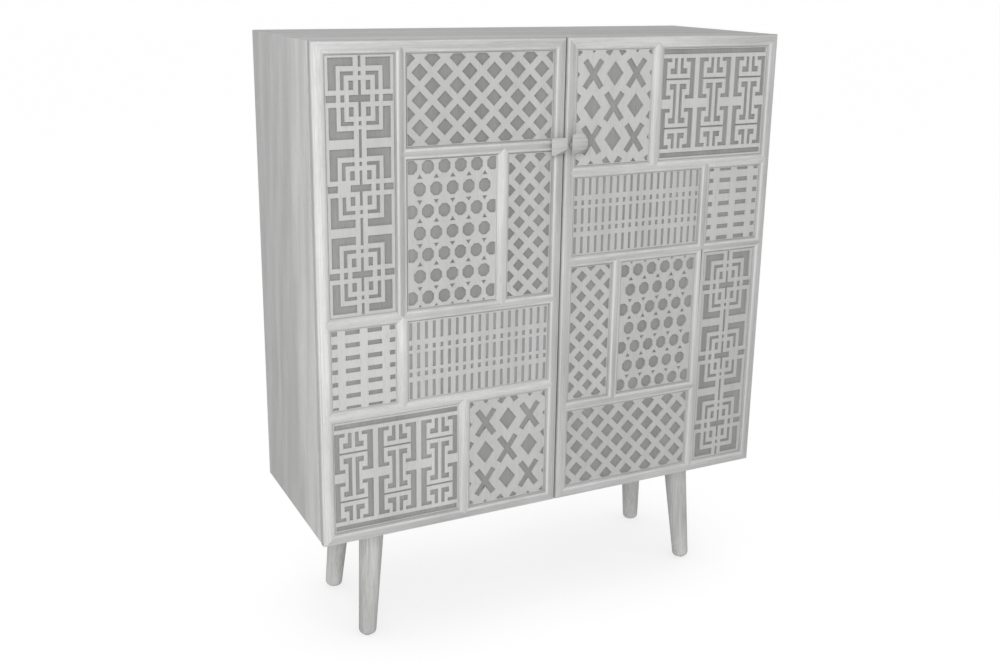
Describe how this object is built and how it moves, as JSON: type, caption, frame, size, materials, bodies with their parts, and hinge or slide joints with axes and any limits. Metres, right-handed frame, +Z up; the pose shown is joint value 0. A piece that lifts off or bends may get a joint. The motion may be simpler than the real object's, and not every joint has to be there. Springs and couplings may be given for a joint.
{
  "type": "two-door cabinet",
  "caption": "Free-standing wooden cabinet with two hinged doors faced in pierced fretwork panels, shelves inside and splayed round legs.",
  "frame": {"origin": "on the floor under the middle of the whole object, knobs included", "axes": "+Z up, +X to the right seen from the front, +Y from the doors to the back"},
  "size_m": [1, 0.398, 1.2],
  "materials": {
    "carcass_wood": "grey-washed mango wood, matt, long grain",
    "bar_wood": "pale grey-washed wood, rounded and worn edges",
    "tile_wood": "pale grey-washed wood, pierced fretwork",
    "board_wood": "darker washed wood behind the fretwork",
    "knob_wood": "hand-cut wood with flats on its corners",
    "leg_wood": "turned grey-washed wood with a few knots",
    "back_ply": "bare plywood",
    "steel": "zinc-plated steel",
    "glide": "plastic floor glide"
  },
  "bodies": {
    "cabinet": {"top_panel": "carcass_wood", "bottom_panel": "carcass_wood", "left_side_panel": "carcass_wood", "right_side_panel": "carcass_wood", "back_panel": "back_ply", "centre_divider": "carcass_wood", "upper_left_shelf": "carcass_wood", "lower_left_shelf": "carcass_wood", "upper_right_shelf": "carcass_wood", "lower_right_shelf": "carcass_wood", "shelf_pins": "steel", "front_left_leg": "leg_wood", "front_right_leg": "leg_wood", "back_left_leg": "leg_wood", "back_right_leg": "leg_wood", "leg_plates": "steel", "leg_fixings": "steel", "leg_glides": "glide", "left_hinge_arms": "steel", "right_hinge_arms": "steel", "hinge_plates": "steel", "hinge_screws": "steel"},
    "left_door": {"left_door_board": "board_wood", "left_outer_stile": "bar_wood", "left_meeting_stile": "bar_wood", "left_top_rail": "bar_wood", "left_bottom_rail": "bar_wood", "left_upright_bars": "bar_wood", "left_crossbars": "bar_wood", "left_square_fret_tile": "tile_wood", "left_wide_lattice_tile": "tile_wood", "left_cane_tile": "tile_wood", "left_tall_lattice_tile": "tile_wood", "left_dash_tile": "tile_wood", "left_slot_tile": "tile_wood", "left_key_fret_tile": "tile_wood", "left_cross_diamond_tile": "tile_wood", "left_knob": "knob_wood", "left_knob_screw": "steel", "left_hinge_cups": "steel", "left_hinge_pins": "steel"},
    "right_door": {"right_door_board": "board_wood", "right_outer_stile": "bar_wood", "right_meeting_stile": "bar_wood", "right_top_rail": "bar_wood", "right_bottom_rail": "bar_wood", "right_upright_bars": "bar_wood", "right_crossbars": "bar_wood", "right_square_fret_tile": "tile_wood", "right_wide_lattice_tile": "tile_wood", "right_cane_tile": "tile_wood", "right_tall_lattice_tile": "tile_wood", "right_dash_tile": "tile_wood", "right_slot_tile": "tile_wood", "right_key_fret_tile": "tile_wood", "right_cross_diamond_tile": "tile_wood", "right_knob": "knob_wood", "right_knob_screw": "steel", "right_hinge_cups": "steel", "right_hinge_pins": "steel"}
  },
  "joints": [
    {"name": "left_door_hinge", "type": "hinge", "parent": "cabinet", "child": "left_door", "pos_m": [-0.4895, -0.1643, 0.7275], "axis": [0, 0, -1], "range_deg": [0, 95]},
    {"name": "right_door_hinge", "type": "hinge", "parent": "cabinet", "child": "right_door", "pos_m": [0.4895, -0.1643, 0.7275], "axis": [0, 0, 1], "range_deg": [0, 95]}
  ]
}
